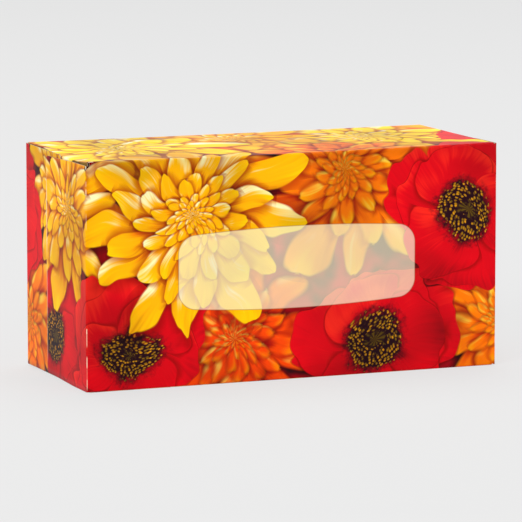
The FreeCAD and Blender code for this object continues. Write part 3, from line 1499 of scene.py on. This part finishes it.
    def _rim(
        self, corners: np.ndarray, flat: np.ndarray, size: int,
    ) -> tuple[np.ndarray, np.ndarray]:
        """Closes the sheet with cut edges, along each edge that only one face of the printed side has.

        On the blank a cut edge lies outside its edge: the edge's heading turned by a quarter, one board
        wide.

        Args:
            corners: The faces of the printed side.
            flat: Where their corners lie on the blank.
            size: How many points each side has.

        Returns:
            The faces of the cut edges, and where their corners lie on the blank.
        """
        edges = np.stack([corners, np.roll(corners, -1, axis=1)], -1).reshape(-1, 2)
        places = np.stack([flat, np.roll(flat, -1, axis=1)], 2).reshape(-1, 2, 4)
        real = edges[:, 0] != edges[:, 1]
        edges, places = edges[real], places[real]
        keys = edges[:, 0] * size + edges[:, 1]
        free = ~np.isin(keys, edges[:, 1] * size + edges[:, 0])
        edges, places = edges[free], places[free]
        faces = np.stack([edges[:, 1], edges[:, 0], edges[:, 0] + size, edges[:, 1] + size], -1)
        heading = places[:, 1, :2] - places[:, 0, :2]
        heading /= np.linalg.norm(heading, axis=1, keepdims=True)
        outwards = np.stack([heading[:, 1], -heading[:, 0]] * 2, -1) * self.fold.board
        return faces, np.stack([
            places[:, 1], places[:, 0], places[:, 0] + outwards, places[:, 1] + outwards], 1)

    def _cuts(self) -> np.ndarray:
        """Lays out the perforation's cuts, seen from above.

        The outline is two straight runs joined by half circles. The cuts stand at an even spacing round
        it, turned to its heading: on a run a cut's place moves with the distance, and on a half circle it
        stands at the distance over the radius. The second half is the first, turned half round.

        Returns:
            The four corners of each cut.
        """
        radius, run = self.tearout_width / 2, self.tearout_length - self.tearout_width
        half_way = run + math.pi * radius
        count = round(2 * half_way / (self.cut + self.bridge))
        travelled = run / 2 + (np.arange(count) + 0.5) * 2 * half_way / count
        side = np.where(np.floor(travelled / half_way) % 2 == 0, 1, -1)
        travelled = travelled % half_way
        angle = np.maximum(travelled - run, 0) / radius
        middle = side[:, None] * np.stack([
            np.minimum(travelled, run) - run / 2 + radius * np.sin(angle), -radius * np.cos(angle)], -1)
        reach = np.array([[-1, -1], [1, -1], [1, 1], [-1, 1]]) * (self.cut / 2, self.cut_width / 2)
        along = np.stack([np.cos(angle), np.sin(angle)], -1)
        sideways = np.stack([-np.sin(angle), np.cos(angle)], -1)
        return (
            middle[:, None] + reach[None, :, :1] * along[:, None] + reach[None, :, 1:] * sideways[:, None])

    def _perforate(self, carton: bpy.types.Object) -> None:
        """Cuts the tear-out's perforation through the top panel, with a block for each cut.

        Args:
            carton: The carton's object, whose mesh is replaced.
        """
        plan = self._cuts()
        count = len(plan)
        low, high = self.fold.height - self.cutter_drop, self.fold.height + self.cutter_rise
        points = np.concatenate([
            np.concatenate([plan, np.full((count, 4, 1), level)], -1) for level in (low, high)], 1)
        block = np.array([
            [0, 1, 5, 4], [1, 2, 6, 5], [2, 3, 7, 6], [3, 0, 4, 7], [3, 2, 1, 0], [4, 5, 6, 7]])
        faces = (np.arange(count)[:, None, None] * 8 + block).reshape(-1, 4)
        cell = np.array([[0, 0], [1, 0], [1, 1], [0, 1]])
        number = np.arange(len(faces))
        corner = np.stack([number % self.bake_cells, number // self.bake_cells], -1)
        walls = self.bake_corner + (corner[:, None] + self.bake_fill * cell) * self.bake_cell
        maps = {"print": np.repeat(cell[None] * MM, len(faces), 0), BAKE_MAP: walls}
        kinds = np.full(len(faces), self._raw)
        cutter = self._object("cutter", points.reshape(-1, 3), faces, maps, kinds, kinds < 0)
        cutting = carton.modifiers.new("perforation", "BOOLEAN")
        cutting.operation, cutting.solver, cutting.object = "DIFFERENCE", "EXACT", cutter
        whole = carton.evaluated_get(bpy.context.evaluated_depsgraph_get())
        carton.data, replaced = bpy.data.meshes.new_from_object(whole), carton.data
        carton.modifiers.clear()
        carton.data.name = self.name
        bpy.data.objects.remove(cutter)
        bpy.data.meshes.remove(replaced)

    def _bake_map(self, places: np.ndarray, inside: np.ndarray) -> np.ndarray:
        """Lays the blank out on the unit square: the printed side large and, beside it, the inside small.

        A place is measured from the blank's lowest corner and divided by the blank's full height.

        Args:
            places: Where the faces' corners lie on the blank, with the outer flaps moved aside.
            inside: Which faces belong to the inside.

        Returns:
            Where the corners lie on the square.
        """
        f = self.fold
        low = np.array([f.half_length + f.front_flap + self.bake_gap, f.depth + f.glue_flap])
        low = -low - self.bake_margin
        tall = 2 * f.height + f.depth + self.bake_margin - low[1]
        large = (places - low) / tall
        wide = -2 * low[0] / tall
        corner = (wide + self.bake_inset, self.bake_inset)
        small = large * (1 - wide) / wide * self.bake_share + corner
        return np.where(inside[:, None, None], small, large)

    @property
    def _raw(self) -> int:
        """The number of the raw board among the finishes, after the tiles."""
        return (len(self._columns) - 1) * (len(self._rows) - 1)

    @property
    def _columns(self) -> np.ndarray:
        """Where the print's tiles meet along the length: at the end creases and evenly between them."""
        half, reach = self.fold.half_length, self.fold.half_length + self.fold.front_flap
        return np.array([-reach, -half, -half / 2, 0, half / 2, half, reach])

    @property
    def _rows(self) -> np.ndarray:
        """Where the print's tiles meet round the girth, on the front and the top panel."""
        h, d = self.fold.height, self.fold.depth
        return np.array([0, h / 2, h, h + d / 2, h + d])

    def _tiles(self) -> Iterable[Tile]:
        """Gives the tiles, column by column."""
        for left, right in zip(self._columns, self._columns[1:]):
            for low, high in zip(self._rows, self._rows[1:]):
                yield Tile((float(left), float(low)), (float(right), float(high)))

    def _tile_of(self, print_map: np.ndarray) -> np.ndarray:
        """Finds the tile that each face shows, by the middle of its corners on the print.

        Args:
            print_map: Where the faces' corners lie on the print, in metres.

        Returns:
            The tiles' numbers.
        """
        along, up = print_map[..., 0].mean(1) / MM, print_map[..., 1].mean(1) / MM
        column = np.searchsorted(self._columns[1:-1], along)
        row = np.searchsorted(self._rows[1:-1], up)
        return column * (len(self._rows) - 1) + row

    def _print(self, places: np.ndarray) -> np.ndarray:
        """Lays the print on the blank: the back repeats the front upright, and the bottom the top.

        Args:
            places: Where the faces' corners lie on the blank, in millimetres.

        Returns:
            Where they lie on the print, in metres.
        """
        f = self.fold
        middle = places[..., 1].mean(1, keepdims=True)
        along, up = places[..., 0], places[..., 1]
        back = middle > f.height + f.depth
        bottom = middle < 0
        along = np.where(back, -along, along)
        up = np.where(back, 2 * f.height + f.depth - up, up)
        up = np.where(bottom, f.height - up, up)
        return np.stack([along, up], -1) * MM

    def _object(
        self, name: str, points: np.ndarray, faces: np.ndarray, maps: dict[str, np.ndarray],
        kinds: np.ndarray, smooth: np.ndarray,
    ) -> bpy.types.Object:
        """Puts the arrays into a mesh, with a corner left out of each face where two coincide.

        Args:
            name: The object's name.
            points: The points, in millimetres.
            faces: The four corners of each face, as numbers of points.
            maps: Where the corners lie on each map, by the map's name.
            kinds: The number of each face's finish.
            smooth: Which faces are shaded smooth.

        Returns:
            The object, in the scene.
        """
        keep = faces != np.roll(faces, -1, axis=1)
        sizes = keep.sum(1)
        whole = sizes >= 3
        keep &= whole[:, None]
        mesh = bpy.data.meshes.new(name)
        starts = np.concatenate([[0], np.cumsum(sizes[whole])[:-1]])
        mesh.vertices.add(len(points))
        mesh.vertices.foreach_set("co", (points * MM).astype(np.float32).ravel())
        mesh.loops.add(int(keep.sum()))
        mesh.loops.foreach_set("vertex_index", faces[keep].astype(np.int32))
        mesh.polygons.add(int(whole.sum()))
        mesh.polygons.foreach_set("loop_start", starts.astype(np.int32))
        mesh.polygons.foreach_set("material_index", kinds[whole].astype(np.int32))
        mesh.polygons.foreach_set("use_smooth", smooth[whole])
        for label, places in maps.items():
            layer = mesh.uv_layers.new(name=label)
            layer.data.foreach_set("uv", places[keep].astype(np.float32).ravel())
        mesh.update(calc_edges=True)
        mesh.validate()
        made = bpy.data.objects.new(name, mesh)
        bpy.context.scene.collection.objects.link(made)
        return made

    def dress(self, carton: bpy.types.Object) -> None:
        """Gives each tile of the print its finish, and the cut edges and the inside raw board.

        Args:
            carton: The carton's object.
        """
        f = self.fold
        creases = (
            Crease(True, -f.half_length, self.worn, self.rubs),
            Crease(True, f.half_length, self.more_worn),
            Crease(False, f.height, self.worn, (self.corner_rub,)),
            Crease(False, f.height + f.depth, self.worn),
            # The outer flap's free edge: its pale bare board is partly a rubbed edge and partly a painted
            # highlight of the edge
            Crease(True, -f.half_length - f.front_flap, self.unworn, self.seam_rubs_and_highlight, self.seam_reach))
        board = PrintedBoard(Printing(f.height), Label(), creases, f.height, f.slot + f.crease)
        for number, tile in enumerate(self._tiles()):
            carton.data.materials.append(board.material(f"print_{number}", tile))
        carton.data.materials.append(RawBoard().material())


@dataclass(frozen=True)
class Lamp:
    """A square soft box, in metres and watts, that faces a point of the carton's middle."""

    name: str
    place: tuple[float, float, float]
    size: float
    power: float
    aim: tuple[float, float, float] = (0.0, 0.0, 0.05)

    def hang(self) -> None:
        """Hangs the soft box in the scene."""
        data = bpy.data.lights.new(self.name, "AREA")
        data.shape = "SQUARE"
        data.size = self.size
        data.energy = self.power
        made = bpy.data.objects.new(self.name, data)
        place = Vector(self.place)
        turned = (Vector(self.aim) - place).to_track_quat("-Z", "Y").to_matrix().to_4x4()
        made.matrix_world = Matrix.Translation(place) @ turned
        bpy.context.scene.collection.objects.link(made)


@dataclass(frozen=True)
class Studio:
    """Pale floor, soft lights and the camera at the photograph's view, in metres.

    The floor glows at the ground's level and shows the light that falls on it by the lit share.
    """

    ground: float = 0.82
    lit_share: float = 0.18
    lit_grey: float = 0.75
    room: float = 0.5
    floor_radius: float = 12.0
    floor_sides: int = 64
    floor_drop: float = 0.0001
    lamps: tuple[Lamp, ...] = (
        Lamp("key", (-2.4, -1.6, 1.6), 1.4, 48.0),
        Lamp("fill", (1.5, -2.4, 1.4), 1.6, 16.0),
        Lamp("crown", (0.3, 0.9, 2.4), 1.6, 35.0))
    eye: tuple[float, float, float] = (-0.7353, -1.8020, 0.3312)
    yaw: float = math.radians(22.20)
    pitch: float = math.radians(8.16)
    focal_pixels: float = 3959.1
    frame_pixels: float = 522.0
    sensor: float = 36.0
    sight: float = 50.0

    def camera(self) -> None:
        """Places the camera and makes it the scene's own."""
        data = bpy.data.cameras.new("camera")
        data.sensor_width = self.sensor
        data.lens = self.focal_pixels / self.frame_pixels * self.sensor
        data.clip_end = self.sight
        made = bpy.data.objects.new("camera", data)
        made.matrix_world = (
            Matrix.Translation(Vector(self.eye))
            @ Matrix.Rotation(-self.yaw, 4, "Z")
            @ Matrix.Rotation(QUARTER_TURN - self.pitch, 4, "X")
        )
        bpy.context.scene.collection.objects.link(made)
        bpy.context.scene.camera = made

    def _shown(self, w: Wiring) -> Socket:
        """Tells the rays that the camera, a reflection or glass sends from those of light.

        Args:
            w: The wiring of the floor's material or the world.

        Returns:
            1 for the former rays, and 0 for the latter.
        """
        path = w.node("ShaderNodeLightPath").outputs
        either = w.math("MAXIMUM", path["Is Camera Ray"], path["Is Glossy Ray"])
        return w.math("MAXIMUM", either, path["Is Transmission Ray"])

    def floor(self) -> bpy.types.Object:
        """Lays the floor: it shows as the pale ground, with what shadow the carton casts on it.

        Returns:
            The floor's object, a flat disc.
        """
        angles = np.linspace(0, FULL_TURN, self.floor_sides, endpoint=False)
        points = np.stack([
            np.cos(angles) * self.floor_radius, np.sin(angles) * self.floor_radius,
            np.full(self.floor_sides, -self.floor_drop)], -1)
        mesh = bpy.data.meshes.new("floor")
        mesh.from_pydata(points.tolist(), [], [list(range(self.floor_sides))])
        made = bpy.data.objects.new("floor", mesh)
        bpy.context.scene.collection.objects.link(made)
        mesh.materials.append(self._floor_material())
        return made

    def _floor_material(self) -> bpy.types.Material:
        """Makes the floor's material: a mix of lit grey and glow, and for rays of light plain grey.

        Returns:
            The material.
        """
        made, w, plain = new_material("pale_floor")
        w.tree.nodes.remove(plain)
        lit = w.node("ShaderNodeBsdfDiffuse")
        lit.inputs["Color"].default_value = (self.lit_grey, self.lit_grey, self.lit_grey, 1.0)
        glow = w.node("ShaderNodeEmission")
        glow.inputs["Color"].default_value = (self.ground, self.ground, self.ground, 1.0)
        seen = w.node("ShaderNodeMixShader")
        seen.inputs[0].default_value = self.lit_share
        w.tree.links.new(glow.outputs[0], seen.inputs[1])
        w.tree.links.new(lit.outputs[0], seen.inputs[2])
        mixed = w.node("ShaderNodeMixShader")
        w.feed(mixed.inputs[0], self._shown(w))
        w.tree.links.new(lit.outputs[0], mixed.inputs[1])
        w.tree.links.new(seen.outputs[0], mixed.inputs[2])
        w.tree.links.new(mixed.outputs[0], w.tree.nodes["Material Output"].inputs["Surface"])
        return made

    def world(self) -> None:
        """Fills the room with plain light, and shows the pale ground behind everything."""
        world = bpy.data.worlds.new("room")
        bpy.context.scene.world = world
        world.use_nodes = True
        w = Wiring(world.node_tree)
        background = world.node_tree.nodes["Background"]
        level = w.blend(self._shown(w), (self.room,) * 3, (self.ground,) * 3)
        w.feed(background.inputs["Color"], level)
        background.inputs["Strength"].default_value = 1.0

    def set_up(self) -> None:
        """Builds the whole studio."""
        self.floor()
        self.world()
        for lamp in self.lamps:
            lamp.hang()
        self.camera()
        settings = bpy.context.scene.view_settings
        settings.view_transform = "Standard"


def main() -> None:
    """Builds the carton and the studio round it, and notes the sizes."""
    logging.basicConfig(level=logging.INFO, format="%(name)s: %(message)s")
    low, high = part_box("tissue_box")
    length, depth, height = (high - low) / MM
    carton = Carton(Fold(length=length, depth=depth, height=height))
    made = carton.build()
    carton.dress(made)
    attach(made, "root")
    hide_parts("tissue_box")
    log.info("carton: %d faces, %.1f x %.1f x %.1f mm", len(made.data.polygons), length, depth, height)
    Studio().set_up()
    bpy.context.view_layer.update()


if __name__ == "__main__":
    main()
